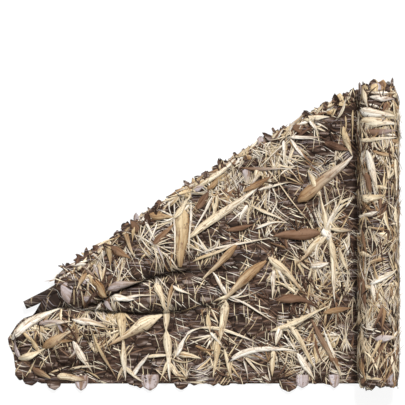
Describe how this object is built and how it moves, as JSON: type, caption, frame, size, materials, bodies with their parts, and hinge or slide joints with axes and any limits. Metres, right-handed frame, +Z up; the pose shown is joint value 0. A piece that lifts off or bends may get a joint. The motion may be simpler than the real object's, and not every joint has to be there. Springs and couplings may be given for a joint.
{
  "type": "rolled leaf-cut blind cover cloth",
  "caption": "Bolt of leaf-cut camouflage cloth for covering a field blind, partly drawn off its card core and laid flat, with one corner folded under and the loose end bunched.",
  "frame": {"origin": "middle of the overall box, on the ground", "axes": "+X from the loose end to the roll, +Y along the roll towards the folded corner's side, +Z up"},
  "size_m": [1.856, 1.42, 0.2037],
  "materials": {
    "base_cloth": "printed woven polyester, matte",
    "leaf_cloth": "printed woven polyester, die-cut, matte",
    "thread": "twisted polyester thread",
    "card_core": "spiral-wound kraft card, matte"
  },
  "bodies": {
    "sheet": {"sheet_base_cloth": "base_cloth", "sheet_leaf_strip_01": "leaf_cloth", "sheet_leaf_strip_02": "leaf_cloth", "sheet_leaf_strip_03": "leaf_cloth", "sheet_leaf_strip_04": "leaf_cloth", "sheet_leaf_strip_05": "leaf_cloth", "sheet_leaf_strip_06": "leaf_cloth", "sheet_leaf_strip_07": "leaf_cloth", "sheet_leaf_strip_08": "leaf_cloth", "sheet_leaf_strip_09": "leaf_cloth", "sheet_leaf_strip_10": "leaf_cloth", "sheet_stitching": "thread", "folded_corner_leaf_strips": "leaf_cloth"},
    "lead_off": {"lead_off_base_cloth": "base_cloth", "lead_off_leaf_strips": "leaf_cloth"},
    "roll": {"rolled_base_cloth": "base_cloth", "rolled_leaf_strip_01": "leaf_cloth", "rolled_leaf_strip_02": "leaf_cloth", "rolled_leaf_strip_03": "leaf_cloth", "rolled_leaf_strip_04": "leaf_cloth", "rolled_leaf_strip_05": "leaf_cloth", "rolled_leaf_strip_06": "leaf_cloth", "rolled_leaf_strip_07": "leaf_cloth", "rolled_leaf_strip_08": "leaf_cloth", "rolled_leaf_strip_09": "leaf_cloth", "rolled_leaf_strip_10": "leaf_cloth", "rolled_stitching": "thread"},
    "core": {"core_tube": "card_core"},
    "loose_end": {"loose_end_base_cloth": "base_cloth", "loose_end_leaf_strip_01": "leaf_cloth", "loose_end_leaf_strip_02": "leaf_cloth", "loose_end_leaf_strip_03": "leaf_cloth", "loose_end_leaf_strip_04": "leaf_cloth", "loose_end_stitching": "thread"}
  },
  "joints": [
    {"name": "roll_travel", "type": "slide", "parent": "sheet", "child": "lead_off", "axis": [-1, 0, 0], "range_m": [0, 0.28], "deforming": ["sheet_base_cloth", "sheet_leaf_strip_01", "sheet_leaf_strip_02", "sheet_leaf_strip_03", "sheet_leaf_strip_04", "sheet_leaf_strip_05", "sheet_leaf_strip_06", "sheet_leaf_strip_07", "sheet_leaf_strip_08", "sheet_leaf_strip_09", "sheet_leaf_strip_10", "sheet_stitching", "folded_corner_leaf_strips", "lead_off_base_cloth", "lead_off_leaf_strips"]},
    {"name": "roll_spin", "type": "hinge", "parent": "lead_off", "child": "roll", "pos_m": [0.82965, 0, 0.09835], "axis": [0, 1, 0], "range_deg": [0, 172]},
    {"name": "core_slide", "type": "slide", "parent": "roll", "child": "core", "axis": [0, -1, 0], "range_m": [0, 0.5]},
    {"name": "end_fold", "type": "hinge", "parent": "sheet", "child": "loose_end", "pos_m": [-0.47, -0.39, 0.0245], "axis": [0, 1, 0], "range_deg": [0, 90]}
  ],
  "couplings": [
    {"joint": "roll_spin", "follows": "roll_travel", "rad_per_m": 10.7}
  ]
}
